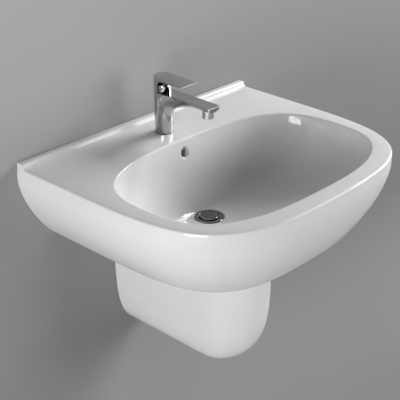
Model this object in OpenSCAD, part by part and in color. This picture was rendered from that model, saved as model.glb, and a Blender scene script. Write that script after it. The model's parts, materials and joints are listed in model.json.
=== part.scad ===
/* [Basin] */
// Width of the basin along the wall
basin_w = 650; // [600:10:700]
// Depth of the basin from the wall to its front
basin_d = 527; // [500:1:560]
// Height of the deck above the wall studs
deck_z = 65; // [60:1:75]
// Height of the outer apron below the deck
apron_h = 168; // [160:1:180]
// Thickness of the vitreous china
china_t = 12; // [10:0.5:14]
// Height of the upstand along the wall
upstand_h = 10; // [6:1:16]
// Depth of the bowl from the deck to the waste seat
bowl_depth = 155; // [145:1:160]
// Distance between the two wall studs
stud_pitch = 280; // [240:10:300]

/* [Semi-pedestal] */
// Width of the semi-pedestal
ped_w = 166; // [150:2:180]
// Depth of the semi-pedestal from the wall
ped_d = 352; // [320:2:370]
// Lowest point of the semi-pedestal below the deck
ped_drop = 484; // [470:2:500]

/* [Tap] */
// Distance of the tap axis from the wall
tap_back = 78; // [70:1:85]
// Height of the tap body above the deck
body_h = 91; // [85:1:100]
// Radius of the tap body at its top
body_r = 20.5; // [20:0.5:22]
// Distance of the spout tip from the tap axis
spout_reach = 143; // [120:1:150]
// Distance of the lever tip from the tap axis
lever_reach = 75; // [60:1:90]

/* [Waste and trap] */
// Distance of the waste axis from the wall
waste_back = 207; // [200:1:215]
// Radius of the visible waste flange
flange_r = 32; // [30:0.5:34]
// Radius of the plug cap
plug_r = 19.5; // [18:0.5:19.5]
// Distance of the wall outlet below the deck
outlet_drop = 305; // [300:1:310]

/* [Hidden] */
$fn = 96;

// Colours
china = [0.93, 0.93, 0.92];
chrome = [0.72, 0.73, 0.75];
steel = [0.6, 0.61, 0.62];
brass = [0.78, 0.65, 0.36];
rubber = [0.12, 0.12, 0.13];
nylon = [0.85, 0.85, 0.82];
trap_white = [0.9, 0.9, 0.9];

// Overlap that makes a cut pass clean through a face
cut = 1;

// Basin plan: a superellipse from the wall round the front, and the straight back
side_pow = 3.11;
nose_pow = 6.03;
side_end = 0.85;
side_cols = 12;
nose_cols = 30;
back_cols = 22;

// Apron profile below the deck
flare = 2;
flare_h = 20;
taper_pow = 1.7;
taper_w = 70;
taper_d = 60;
edge_r = 4;
lip_r = 6;

// Bowl: half-width, rear edge and front edge at the deck, all closing on the waste seat
bowl_half_w = 281;
bowl_rear_y = -134;
bowl_front_y = -488;
bowl_mid_y = (bowl_rear_y + bowl_front_y) / 2;
bowl_rim_pow = 2.8;
seat_edge_r = 34;
seat_r = flange_r + 1;
seat_h = 2.5;
seat_z = -bowl_depth - seat_h;
bowl_levels = 10;
apron_levels = [20, 45, 72, 98, 122, 144];
inner_levels = [144, 110, 60, china_t];
under_levels = [0, 1, 3, 5, 7, 8, 9, 10];

// Waste hole, its boss, and the overflow duct cast behind the bowl
waste_hole_r = 22.75;
seat_hole_r = 20;
boss_r = 40;
boss_drop = 189;
channel_r = 31;
channel_h = 10;
channel_z = -179;
overflow_z = -30;
overflow_r = 11;
duct_path = [[-waste_back, channel_z + channel_h / 2], [-162, channel_z + channel_h / 2],
    [-148, -160], [-122, -24]];
duct_r = 5;
duct_skin = 7;
duct_half_w = 18;

// Wall side of the basin
tap_hole_r = 17.5;
stud_hole_r = 7.5;
stud_boss_r = 24;
stud_boss_t = 30;
notch_half_w = 96;
notch_top = -60;
notch_r = 20;

// Semi-pedestal
ped_top = -172;
ped_ramp_y = 250;
ped_ramp = 0.27;
ped_t = 10;
ped_levels = 18;
ped_nose_cols = 24;
ped_nose_pow = 2.2;
ped_bottom_extra = 2;
ped_flange_x = 48;
ped_flange_z0 = -440;
ped_flange_h = 240;
ped_stud_x = 58;
ped_stud_z = -350;
ped_hole_r = 5.5;

// Tap body, measured from the deck and the tap axis
gasket_t = 1.5;
base_r = 19;
spigot_r = 15.5;
spigot_z = -6;
chamber_r = 15;
chamber_z = 55;
spout_half_w = 16;
spout_tip_z = 80;
spout_under = [[-spout_reach, spout_tip_z], [-75, 74.5], [-24, 72], [-18, 34]];
tip_r = 1.5;
aerator_y = 18 - spout_reach;
aerator_r = 12;
aerator_z = 65;
aerator_top = 76.5;
neck_r = 10.8;
neck_top = 84;
screen_r = 9.4;
aerator_lip = 1.2;
insert_top = 74;
seal_top = 76;
jet_r = 0.9;
jet_pitch = 3;
passage_z = 86;
passage_r = 3.5;
inlet_x = 7.5;
inlet_y = 6;
inlet_r = 4.5;
inlet_mouth_r = 5.4;
inlet_z = 12;
inlet_deep = 14;
feed_r = 1.8;
feed_x = 5.7;
feed_y = 4.4;
fix_deep = 13;

// Tap fixing under the deck
fix_y = -11;
fix_r = 3.9;
fix_len = 62;
shoe_r = 24;
shoe_slot = 13.5;
rubber_t = 3;
shoe_t = 2;
fix_nut_af = 13;
fix_nut_h = 24;

// Cartridge and lever, measured from the deck
pivot_z = 100;
pin_r = 1.5;
pin_len = 19;
pin_fit = 0.05;
disc_r = 11.5;
disc_z = 58;
disc_t = 4;
disc_gap = 0.2;
disc_port_r = 2.5;
disc_port_x = 7;
housing_wall = 2;
housing_top = 83.5;
carrier_z = 66;
carrier_step = 83;
nut_top = 90.5;
nut_slot_w = 3;
carrier_r = 10.2;
carrier_top = 103;
dome_r = 15.6;
dome_t = 1.6;
dome_side = 103;
dome_top = 108;
dome_mouth = 11.5;
stem_w = 8;
stem_z = 92;
slot_z = 89.5;
slot_half_l = 7.6;
stem_top = 115;
hood_z = 92;
hood_rise = 7.2;
hood_top = 124;
hood_ceiling = 116.5;
hood_inner_r = 17.5;
arch_y = -3;
arch_r = 6;
blade_half_w = 20;
blade_tip_top = 121;
blade_tip_under = 118.6;
socket_r = 7.5;
socket_z = 107.5;
screw_z = 112;
screw_r = 2.5;
screw_len = 3.4;
hex_key = 2;
index_r = 3;

// Waste, measured from the deck
flange_top = -154.5;
flange_under = -157;
collar_r = 22.4;
collar_bore = 20;
collar_end = -186;
thread_r = 20.9;
thread_bore = 17.5;
thread_end = -240;
spider_top = -172;
spider_t = 4;
hub_r = 9;
click_r = 6;
click_end = -200;
stem_r = 3;
plug_top = -151.8;
cap_t = 4;
seal_r = 19.6;
seal_t = 2;
spring_r = 5;
spring_wire = 0.5;
spring_turns = 4.5;
slot_w = 10;
lower_gasket_t = 5;
washer_t = 1.5;
backnut_h = 10;
backnut_af = 54;
washer_z = -boss_drop - lower_gasket_t;

// Trap and outlet, measured from the deck
pipe_r = 16;
pipe_bore = 14.6;
gap = 0.3;
neck_z = -266;
trap_r = 30;
trap_z = -324;
skirt_r = 27.5;
skirt_z = -340;
chamber_bore = 24.5;
port_r = 18.5;
port_end = 50;
bottle_z = -404;
dip_z = -352;
wall_in = 60;
bead_r = 17;

// Wall fixings
bolt_r = 5;
bolt_thread_r = 4.5;
bolt_in = 60;
bolt_out = 52;
bolt_point = 8;
ped_bolt_r = 4;
ped_thread_r = 3.6;
ped_bolt_in = 45;
ped_bolt_out = 26;
bush_flange_r = 14;
bush_flange_t = 3;
bush_clear = 4;
washer_r = 13;
bolt_washer_t = 2;
bolt_nut_af = 17;
bolt_nut_h = 8;
bush_z = -stud_boss_t - bush_flange_t;
washer_face = bush_z - bolt_washer_t;
ped_washer_r = 9.5;
ped_nut_af = 13;
ped_nut_h = 6.5;

// ---- Shared shapes ----

// Moves its children so that their z = 0 is the deck
module on_deck() translate([0, 0, deck_z]) children();

// Puts its children on the tap axis, with z = 0 at the deck
module on_tap() on_deck() translate([0, -tap_back, 0]) children();

// Puts its children on the waste axis, with z = 0 at the deck
module on_waste() on_deck() translate([0, -waste_back, 0]) children();

// Turns its children so that their +Z points at the wall, +Y
module to_wall() rotate([-90, 0, 0]) children();

// A round bar from z0 to z1
module bar(r, z0, z1) translate([0, 0, z0]) cylinder(r = r, h = z1 - z0);

// A round tube from z0 to z1
module tube(r_out, r_in, z0, z1) difference() {
    bar(r_out, z0, z1);
    bar(r_in, z0 - cut, z1 + cut);
}

// A hexagonal nut from z0 to z1, with its flats af apart
module hex_nut(af, r_in, z0, z1) difference() {
    translate([0, 0, z0]) cylinder(r = af / sqrt(3), h = z1 - z0, $fn = 6);
    bar(r_in, z0 - cut, z1 + cut);
}

// A plastic union nut: a ribbed collar with a lip round the pipe at z = 0 and a thread above it
module union_nut(r_out, r_thread, r_lip, len, lip_t) difference() {
    union() {
        cylinder(r = r_out - 1.5, h = len);
        for (a = [0 : 30 : 330]) rotate(a) translate([r_out - 4, -2, 0]) cube([4, 4, len]);
    }
    bar(r_lip, -cut, len + cut);
    bar(r_thread, lip_t, len + cut);
}

// A tapered sealing ring: r_wide at z0, r_narrow at z1
module cone_ring(r_wide, r_narrow, r_in, z0, z1) difference() {
    translate([0, 0, z0]) cylinder(r1 = r_wide, r2 = r_narrow, h = z1 - z0);
    bar(r_in, z0 - cut, z1 + cut);
}

// Its children at x, and their mirror image
module pair(x) for (s = [0, 1]) mirror([s, 0, 0]) translate([x, 0, 0]) children();

// A skin through rings of points. A looped skin joins its last ring to its first.
module skin(rings, looped = false) {
    n = len(rings[0]);
    m = len(rings);
    bands = [for (j = [0 : m - (looped ? 1 : 2)], i = [0 : n - 1])
        let (a = j * n, b = ((j + 1) % m) * n, k = (i + 1) % n)
        each [[a + i, b + k, a + k], [a + i, b + i, b + k]]];
    first = [for (i = [0 : n - 1]) i];
    last = [for (i = [n - 1 : -1 : 0]) (m - 1) * n + i];
    polyhedron([for (r = rings) each r], looped ? bands : concat(bands, [first, last]));
}

// One continuous skin from its children
module fused() resize([0, 0, 0]) children();

// ---- Basin ----

function side_u(v) = pow(1 - pow(v, nose_pow), 1 / side_pow);
function nose_v(u) = pow(1 - pow(abs(u), side_pow), 1 / nose_pow);

// Plan of the basin as shares of its half-width and depth, clockwise from the right end of the wall
right_side = [for (i = [0 : side_cols - 1]) let (v = side_end * i / side_cols) [side_u(v), v]];
front_side = [for (i = [0 : nose_cols])
    let (u = side_u(side_end) * (1 - 2 * i / nose_cols)) [u, nose_v(u)]];
left_side = [for (i = [side_cols - 1 : -1 : 0]) [-right_side[i][0], right_side[i][1]]];
back_side = [for (i = [1 : back_cols - 1]) [2 * i / back_cols - 1, 0]];
plan = concat(right_side, front_side, left_side, back_side);

// Direction of each plan point from the middle of the bowl
spokes = [for (p = plan) atan2(-p[1] * basin_d - bowl_mid_y, p[0] * basin_w / 2)];

// Half-width and depth of the apron at height z
function taper(z) = pow(max(0, -z - flare_h) / (apron_h - flare_h - lip_r), taper_pow);
function apron_w(z) = basin_w / 2 + flare * min(1, -z / flare_h) - taper_w * taper(z);
function apron_d(z) = basin_d - taper_d * taper(z);
function apron_ring(z, inset = 0, back_t = 0) = [for (p = plan)
    [p[0] * (apron_w(z) - inset), -max(back_t, p[1] * (apron_d(z) - inset)), z]];

// Bowl outline at depth share s, from 0 at the deck to 1 at the waste seat
function bowl_half(s) = seat_edge_r + (bowl_half_w - seat_edge_r) * pow(1 - s * s, 0.57);
function bowl_rear(s) = bowl_rear_y - 26 * s - 13 * pow(s, 6);
function bowl_front(s) = -waste_back - seat_edge_r
    + (bowl_front_y + waste_back + seat_edge_r) * pow(1 - s * s, 0.73);
function bowl_pow(s) = bowl_rim_pow - 0.8 * s;
function bowl_ring(s, z, grow = 0) =
    let (rear = bowl_rear(s) + grow, front = bowl_front(s) - grow,
        a = bowl_half(s) + grow, b = (rear - front) / 2, n = bowl_pow(s))
    [for (q = spokes)
        let (r = pow(pow(abs(cos(q)) / a, n) + pow(abs(sin(q)) / b, n), -1 / n))
        [r * cos(q), (rear + front) / 2 + r * sin(q), z]];

// A level ring round the waste axis
function waste_ring(r, z) = [for (q = spokes) [r * cos(q), r * sin(q) - waste_back, z]];

// Depth shares, closer together near the waste seat
function share(i) = sin(90 * i / bowl_levels);

// Rim and lip roundings as quarter turns
function turn(r, a) = r * (1 - cos(a));

function basin_rings() = concat(
    [waste_ring(seat_hole_r, seat_z), waste_ring(seat_r, seat_z)],
    [for (i = [bowl_levels : -1 : 1]) bowl_ring(share(i), -bowl_depth * share(i))],
    [for (a = [0, 45, 90]) bowl_ring(0, -turn(edge_r, 90 - a), turn(edge_r, a))],
    [for (a = [90, 45, 0]) apron_ring(-turn(edge_r, 90 - a), turn(edge_r, a))],
    [for (z = apron_levels) apron_ring(-z)],
    [for (a = [0 : 45 : 180])
        apron_ring(-apron_h + lip_r - lip_r * sin(a), turn(lip_r, a), a > 90 ? china_t : 0)],
    [for (z = inner_levels) apron_ring(-z, china_t, china_t)],
    [for (i = under_levels)
        bowl_ring(share(i), min(-china_t, -bowl_depth * share(i) - china_t * pow(share(i), 2)), china_t)],
    [waste_ring(seat_hole_r, -bowl_depth - china_t)]
);

// A ribbon of half-thickness r round a path in the (y, z) plane, drawn across the basin
module ribbon(path, r, half_w) rotate([90, 0, 90]) translate([0, 0, -half_w])
    linear_extrude(height = 2 * half_w) for (i = [0 : len(path) - 2]) hull() {
        translate(path[i]) circle(r = r, $fn = 16);
        translate(path[i + 1]) circle(r = r, $fn = 16);
    }

// Upstand along the wall: a low bank with a rounded top
module upstand() rotate([90, 0, 90]) translate([0, 0, -basin_w / 2])
    linear_extrude(height = basin_w) polygon(concat(
        [[0, -2 * edge_r], [0, upstand_h]],
        [for (a = [0 : 15 : 75]) [-12 - 4 * sin(a), upstand_h - 4 * (1 - cos(a))]],
        [for (a = [75 : -25 : 0]) [-21.5 + 4.5 * sin(a), 3.1 * (1 - cos(a)) * upstand_h / 10]],
        [[-21.5, -2 * edge_r]]
    ));

module basin_skin() fused() difference() {
    union() {
        skin(basin_rings(), looped = true);
        upstand();
        bar_at_waste(boss_r, -boss_drop, -bowl_depth - china_t / 2);
        ribbon(duct_path, duct_r + duct_skin, duct_half_w + duct_skin);
        pair(stud_pitch / 2) translate([0, -stud_boss_t, -deck_z]) to_wall()
            cylinder(r = stud_boss_r, h = stud_boss_t - 2);
    }
    // The duct, its way down to the waste hole, and the bowl's own hollow
    ribbon(duct_path, duct_r, duct_half_w);
    bar_at_waste(seat_hole_r, -boss_drop - cut, seat_z + cut);
    bar_at_waste(channel_r, channel_z, channel_z + channel_h);
    skin(concat(
        [waste_ring(seat_r, seat_z)],
        [for (i = [bowl_levels : -1 : 1]) bowl_ring(share(i), -bowl_depth * share(i))],
        [bowl_ring(0, 0), bowl_ring(0, cut)]
    ));
    // Service notch in the back
    translate([0, cut, 0]) rotate([90, 0, 0]) linear_extrude(height = china_t + 3 * cut)
        offset(r = notch_r) translate([-notch_half_w + notch_r, -apron_h - notch_r])
        square([2 * (notch_half_w - notch_r), notch_top + apron_h]);
}

module bar_at_waste(r, z0, z1) translate([0, -waste_back, 0]) bar(r, z0, z1);

module basin() color(china) on_deck() difference() {
    basin_skin();
    translate([0, -tap_back, 0]) bar(tap_hole_r, -2 * china_t, cut);
    bar_at_waste(waste_hole_r, -boss_drop - cut, seat_z + cut);
    translate([0, bowl_rear_y - 15, overflow_z]) to_wall() cylinder(r = overflow_r, h = 28);
    pair(stud_pitch / 2) translate([0, -stud_boss_t - cut, -deck_z]) to_wall()
        cylinder(r = stud_hole_r, h = stud_boss_t + 2 * cut);
}

// ---- Semi-pedestal ----

// Half-width and depth at height z below the deck
function ped_share(z) = max(0, (ped_top - z) / (ped_drop + ped_top));
function ped_half(z) = ped_w / 2 * pow(1 - pow(ped_share(z), 5), 1 / ped_nose_pow);
function ped_nose(z) = ped_d * pow(1 - pow(ped_share(z), 5.5), 1 / 5.5);

// Outline at height z: straight sides from behind the wall plane to a round nose
function ped_ring(z, inset, back) =
    let (w = ped_half(z) - inset, straight = ped_nose(z) - ped_half(z))
    concat([[w, back, z]],
        [for (i = [0 : ped_nose_cols]) let (a = 180 * i / ped_nose_cols)
            [w * sign(cos(a)) * pow(abs(cos(a)), 2 / ped_nose_pow),
                -straight - w * pow(sin(a), 2 / ped_nose_pow), z]],
        [[-w, back, z]]);

// Levels from the top down, closer together at the rounded bottom
ped_zs = [for (i = [1 : ped_levels]) ped_top - (ped_drop + ped_top) * 0.992 * sin(90 * i / ped_levels)];

// The top edge climbs towards the nose, as the bowl above it does
function ped_rim(y) = ped_top + max(0, -y - ped_ramp_y) * ped_ramp;

module ped_form(inset, back, lift) skin(concat(
    [[for (p = ped_ring(ped_top, inset, back)) [p[0], p[1], ped_rim(p[1]) + lift]]],
    [for (z = ped_zs) [for (p = ped_ring(z, inset, back)) [p[0], p[1], z + lift]]]
));

module ped_skin() fused() difference() {
    union() {
        difference() {
            ped_form(0, 0, 0);
            ped_form(ped_t, cut, ped_t + ped_bottom_extra);
        }
        // Rear flanges that take the wall studs
        intersection() {
            ped_form(ped_t / 2, 0, 0);
            pair(ped_flange_x) translate([0, -ped_t, ped_flange_z0])
                cube([ped_w / 2, ped_t, ped_flange_h]);
        }
    }
}

module semi_pedestal() color(china) on_deck() difference() {
    ped_skin();
    pair(ped_stud_x) translate([0, -ped_t - cut, ped_stud_z]) to_wall()
        cylinder(r = ped_hole_r, h = ped_t + 2 * cut);
}

// ---- Tap ----

// A point of the cubic curve through the four points p
function curve(p, t) = pow(1 - t, 3) * p[0] + 3 * t * pow(1 - t, 2) * p[1]
    + 3 * t * t * (1 - t) * p[2] + pow(t, 3) * p[3];

// Draws its (y, z) outline across the tap, half_w to each side
module across(half_w) rotate([90, 0, 90]) translate([0, 0, -half_w])
    linear_extrude(height = 2 * half_w) children();

module spout() across(spout_half_w) polygon(concat(
    [[0, body_h], [tip_r - spout_reach, body_h], [-spout_reach, body_h - tip_r]],
    [for (i = [0 : 12]) curve(spout_under, i / 12)],
    [[0, spout_under[3][1]]]
));

module tap_body() color(chrome) on_tap() difference() {
    union() {
        translate([0, 0, gasket_t]) cylinder(r1 = base_r, r2 = body_r, h = body_h - gasket_t);
        bar(spigot_r, spigot_z, gasket_t);
        spout();
        translate([0, aerator_y, 0]) bar(aerator_r, aerator_top, spout_tip_z);
    }
    // Cartridge chamber, and the way from it to the aerator
    bar(chamber_r, chamber_z, body_h + cut);
    translate([0, 0, passage_z]) rotate([90, 0, 0]) cylinder(r = passage_r, h = -aerator_y);
    translate([0, aerator_y, 0]) bar(neck_r + pin_fit, aerator_top - cut, neck_top + gap);
    translate([0, aerator_y, 0]) bar(passage_r, neck_top, passage_z);
    // Threaded inlets with their feeds, and the socket of the fixing stud
    pair(inlet_x) translate([0, inlet_y, 0]) {
        bar(inlet_mouth_r, spigot_z - cut, inlet_z);
        bar(inlet_r, inlet_z - cut, inlet_z + inlet_deep);
    }
    pair(feed_x) translate([0, feed_y, 0]) bar(feed_r, inlet_z + inlet_deep - cut, chamber_z + cut);
    translate([0, fix_y, 0]) bar(fix_r + pin_fit, spigot_z - cut, fix_deep + 1);
}

module tap_base_gasket() color(rubber) on_tap() tube(base_r - 0.3, spigot_r + gap, 0, gasket_t);

module cartridge_housing() color(nylon) on_tap() difference() {
    bar(disc_r + 0.5 + housing_wall, chamber_z, housing_top);
    bar(disc_r + 0.5, disc_z, housing_top + cut);
    disc_ports(chamber_z - cut, disc_z + cut);
}

// Three water ports round the cartridge axis
module disc_ports(z0, z1) for (a = [90, 210, 330]) rotate(a) translate([disc_port_x, 0, 0])
    bar(disc_port_r, z0, z1);

module fixed_disc() color(china) on_tap() difference() {
    bar(disc_r + gap, disc_z, disc_z + disc_t);
    disc_ports(disc_z - cut, disc_z + disc_t + cut);
}

module moving_disc() color(china) on_tap() difference() {
    bar(disc_r, disc_z + disc_t + disc_gap, carrier_z);
    // Mixing pocket that joins the ports
    translate([0, -disc_port_r, 0]) bar(2 * disc_port_r, disc_z, disc_z + 1.5 * disc_t);
}

module cartridge_carrier() color(nylon) on_tap() difference() {
    union() {
        bar(disc_r, carrier_z, carrier_step);
        bar(carrier_r, carrier_step, carrier_top);
    }
    // Slot in which the stem swings
    translate([-stem_w / 2 - disc_gap, -slot_half_l, slot_z])
        cube([stem_w + 2 * disc_gap, 2 * slot_half_l, carrier_top - slot_z + cut]);
    along_pin(disc_r) cylinder(r = pin_r, h = 2 * disc_r);
}

// Puts its children on the pivot axis, which points along +X, starting back from the tap axis
module along_pin(back) translate([-back, 0, pivot_z]) rotate([0, 90, 0]) children();

module lever_pivot_pin() color(steel) on_tap() along_pin(pin_len / 2) cylinder(r = pin_r, h = pin_len);

module cartridge_stem() color(brass) on_tap() difference() {
    translate([-stem_w / 2, -stem_w / 2, stem_z]) cube([stem_w, stem_w, stem_top - stem_z]);
    along_pin(stem_w) cylinder(r = pin_r + pin_fit, h = 2 * stem_w);
}

module cartridge_nut() color(brass) on_tap() difference() {
    tube(chamber_r - 0.1, carrier_r + 2 * gap, housing_top + gap, nut_top);
    // Slots for the key
    for (a = [0 : 60 : 300]) rotate(a)
        translate([chamber_r - nut_slot_w, -nut_slot_w / 2, nut_top - nut_slot_w])
        cube([nut_slot_w + cut, nut_slot_w, nut_slot_w + cut]);
}

// Chromed dome over the cartridge: a short cylinder that rounds in to its mouth
module dome_ring() color(chrome) on_tap() rotate_extrude() polygon(concat(
    [[dome_r, body_h]],
    [for (a = [0 : 15 : 90]) [dome_mouth + (dome_r - dome_mouth) * cos(a),
        dome_side + (dome_top - dome_side) * sin(a)]],
    [for (a = [90 : -15 : 0]) [dome_mouth + (dome_r - dome_mouth - dome_t) * cos(a),
        dome_side + (dome_top - dome_side - dome_t) * sin(a)]],
    [[dome_r - dome_t, body_h]]
));

module lever_handle() color(chrome) on_tap() difference() {
    union() {
        difference() {
            bar(body_r, hood_z, hood_top);
            bar(hood_inner_r, hood_z - cut, hood_ceiling);
            // Wedge under the rear edge, which the lift takes up
            across(body_r + cut) polygon([[0, hood_z - cut], [0, hood_z],
                [body_r + cut, hood_z + hood_rise], [body_r + cut, hood_z - cut]]);
            // The front half is open below the blade
            across(body_r + cut) polygon(concat(
                [[arch_y, hood_z - cut]],
                [for (a = [0 : 15 : 90]) [arch_y - arch_r * (1 - cos(a)),
                    hood_ceiling - arch_r * (1 - sin(a))]],
                [[-body_r - cut, hood_ceiling], [-body_r - cut, hood_z - cut]]
            ));
        }
        across(blade_half_w) polygon([[0, hood_top], [tip_r - lever_reach, blade_tip_top],
            [-lever_reach, blade_tip_top - 0.8], [-lever_reach, blade_tip_under], [0, hood_ceiling]]);
        bar(socket_r, socket_z, hood_ceiling + cut);
    }
    translate([-stem_w / 2, -stem_w / 2, socket_z - cut])
        cube([stem_w, stem_w, stem_top - socket_z + cut]);
    translate([0, 0, screw_z]) to_wall() cylinder(r = screw_r, h = body_r + cut);
    translate([0, hood_inner_r - cut, screw_z]) to_wall() cylinder(r = index_r, h = body_r);
}

module lever_set_screw() color(steel) on_tap() translate([0, stem_w / 2, screw_z]) to_wall()
    difference() {
        cylinder(r = screw_r, h = screw_len);
        translate([0, 0, screw_len / 2]) cylinder(r = hex_key / sqrt(3), h = screw_len, $fn = 6);
    }

module index_plug() color(steel) on_tap() translate([0, hood_inner_r, screw_z]) to_wall()
    cylinder(r = index_r, h = body_r - hood_inner_r - 0.2);

module at_aerator() on_tap() translate([0, aerator_y, 0]) children();

module aerator_housing() color(chrome) at_aerator() difference() {
    union() {
        bar(aerator_r, aerator_z, aerator_top);
        bar(neck_r, aerator_top, neck_top);
    }
    bar(screen_r - 0.8, aerator_z - cut, neck_top + cut);
    bar(screen_r, aerator_z + aerator_lip, neck_top + cut);
}

module aerator_insert() color(nylon) at_aerator() difference() {
    bar(screen_r - 0.2, aerator_z + aerator_lip, insert_top);
    // Rings of water holes: one, six and twelve
    for (ring = [0 : 2], i = [0 : max(0, 6 * ring - 1)])
        rotate(ring ? 60 * i / ring : 0) translate([jet_pitch * ring, 0, 0])
            bar(jet_r, aerator_z, insert_top + cut);
}

module aerator_seal() color(rubber) at_aerator()
    tube(screen_r - 0.2, jet_pitch * 2 + jet_r, insert_top, seal_top);

module tap_stud() color(steel) on_tap() translate([0, fix_y, 0]) bar(fix_r, -fix_len, fix_deep);

// Horseshoe washer: a disc with a slot for the hoses, open at the back
module horseshoe(r, z0, z1) difference() {
    bar(r, z0, z1);
    translate([-shoe_slot, 0, z0 - cut]) cube([2 * shoe_slot, r + cut, z1 - z0 + 2 * cut]);
    translate([0, fix_y, 0]) bar(fix_r + gap, z0 - cut, z1 + cut);
}

module rubber_horseshoe() color(rubber) on_tap() horseshoe(shoe_r, -china_t - rubber_t, -china_t);

module metal_horseshoe() color(steel) on_tap()
    horseshoe(shoe_r - 1, -china_t - rubber_t - shoe_t, -china_t - rubber_t);

module tap_fixing_nut() color(brass) on_tap() translate([0, fix_y, -china_t - rubber_t - shoe_t])
    hex_nut(fix_nut_af, fix_r + pin_fit, -fix_nut_h, 0);

// ---- Waste ----

module waste_body() color(chrome) on_waste() difference() {
    union() {
        rotate_extrude() polygon([[collar_bore, flange_top - 3], [22.5, flange_top],
            [28, flange_top - 0.1], [31, flange_top - 0.9], [flange_r, flange_under],
            [collar_r, flange_under], [collar_r, collar_end], [thread_r, collar_end],
            [thread_r, thread_end], [thread_bore, thread_end], [thread_bore, collar_end],
            [collar_bore, collar_end + 3]]);
        // Spider that carries the click mechanism
        bar(hub_r, spider_top - spider_t, spider_top);
        for (a = [90, 210, 330]) rotate(a) translate([0, -2, spider_top - spider_t])
            cube([collar_bore + 1, 4, spider_t]);
    }
    bar(click_r + pin_fit, spider_top - 2 * spider_t, spider_top + cut);
    // Overflow slots
    for (a = [0 : 90 : 270]) rotate(a + 45)
        translate([collar_bore - 2, -slot_w / 2, channel_z]) cube([6, slot_w, channel_h - 3]);
}

module waste_top_gasket() color(rubber) on_waste()
    tube(flange_r - 1, collar_r + gap, seat_z, flange_under);

module waste_lower_gasket() color(rubber) on_waste() mirror([0, 0, 1])
    cone_ring(31, 28, thread_r + 0.1, boss_drop, boss_drop + lower_gasket_t);

module waste_washer() color(nylon) on_waste()
    tube(29, thread_r + gap, washer_z - washer_t, washer_z);

module waste_backnut() color(brass) on_waste()
    hex_nut(backnut_af, thread_r + 0.1, washer_z - washer_t - backnut_h, washer_z - washer_t);

// Plug cap: a disc with a rolled edge and a socket for its stem
module plug_cap() color(chrome) on_waste() rotate_extrude() polygon([
    [0, plug_top], [plug_r - 3, plug_top], [plug_r - 2, plug_top + 0.4], [plug_r - 0.8, plug_top],
    [plug_r, plug_top - 1], [plug_r, plug_top - cap_t], [stem_r + pin_fit, plug_top - cap_t],
    [stem_r + pin_fit, plug_top - 2], [0, plug_top - 2]]);

module plug_seal() color(rubber) on_waste()
    tube(seal_r, stem_r + pin_fit, plug_top - cap_t - seal_t, plug_top - cap_t);

module plug_stem() color(brass) on_waste() bar(stem_r, click_end + 6.5, plug_top - 2.5);

module click_housing() color(brass) on_waste() difference() {
    union() {
        bar(click_r, click_end, spider_top);
        bar(hub_r - 1, spider_top, spider_top + 2);
    }
    bar(stem_r + 0.1, click_end + 0.4, spider_top + 2 + cut);
}

// Round wire wound from the click housing up to the seal
module click_spring() color(steel) on_waste() skin([
    for (i = [0 : 16 * spring_turns])
        let (a = 360 * i / 16, low = spider_top + 2 + spring_wire,
            rise = plug_top - cap_t - seal_t - spring_wire - low,
            z = low + rise * i / (16 * spring_turns))
        [for (q = [0 : 60 : 300]) [(spring_r + spring_wire * cos(q)) * cos(a),
            (spring_r + spring_wire * cos(q)) * sin(a), z + spring_wire * sin(q)]]
]);

// ---- Trap and wall outlet ----

module trap_inlet_nut() color(trap_white) on_waste() translate([0, 0, thread_end - 10])
    union_nut(26.5, thread_r + 0.2, pipe_r + gap, 24, 5.7);

module trap_inlet_seal() color(rubber) on_waste() tube(20.5, pipe_bore, thread_end - 2, thread_end);

module trap_dip_tube() color(trap_white) on_waste() {
    tube(20.5, pipe_bore, thread_end - 4.2, thread_end - 2);
    tube(pipe_r, pipe_bore, dip_z, thread_end - 4.2);
}

module trap_top_nut() color(trap_white) on_waste() translate([0, 0, neck_z + 10]) mirror([0, 0, 1])
    union_nut(28.5, 24.1, pipe_r + gap, 20, 5);

module trap_top_seal() color(rubber) on_waste() cone_ring(23.8, 20, pipe_r + 0.1, neck_z, neck_z + 5);

module trap_body() color(trap_white) on_waste() difference() {
    union() {
        bar(24, neck_z - 24, neck_z);
        bar(trap_r, trap_z, neck_z - 20);
        bar(skirt_r, skirt_z, trap_z);
        translate([0, 0, -outlet_drop]) to_wall() cylinder(r = port_r, h = port_end);
    }
    bar(pipe_r + gap, neck_z - 25, neck_z + cut);
    bar(chamber_bore, skirt_z - cut, neck_z - 24);
    translate([0, 0, -outlet_drop]) to_wall() cylinder(r = pipe_bore - 0.6, h = port_end + cut);
    translate([0, port_end - 18, -outlet_drop]) to_wall() cylinder(r = pipe_r + gap, h = 20);
}

// Bottle of the trap: a screwed cup with a turned-in foot
module trap_bottle() color(trap_white) on_waste() rotate_extrude() polygon([
    [0, bottle_z], [24, bottle_z], [31, bottle_z + 8], [31, trap_z - 2.8], [27.7, trap_z - 2.8],
    [27.7, skirt_z - 1], [26.5, skirt_z - 1], [26.5, bottle_z + 9], [22, bottle_z + 4],
    [0, bottle_z + 4]]);

module trap_bottle_seal() color(rubber) on_waste() tube(trap_r, 27.7, trap_z - 2.8, trap_z);

module at_outlet() on_deck() translate([0, 0, -outlet_drop]) children();

module trap_outlet_nut() color(trap_white) at_outlet()
    translate([0, -waste_back + port_end + 16, 0]) rotate([90, 0, 0])
    union_nut(23.5, port_r + 0.1, pipe_r + gap, 20, 5);

module trap_outlet_seal() color(rubber) at_outlet() translate([0, -waste_back + port_end, 0])
    to_wall() cone_ring(18.4, 17.2, pipe_r + 0.1, 0, 8);

// Chromed pipe into the wall, with a stop bead just inside it
module outlet_pipe() color(chrome) at_outlet() to_wall() difference() {
    union() {
        bar(pipe_r, -waste_back + port_end - 17, wall_in);
        bar(bead_r, 0.5, 3);
    }
    bar(pipe_bore, -waste_back, wall_in + cut);
}

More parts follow.
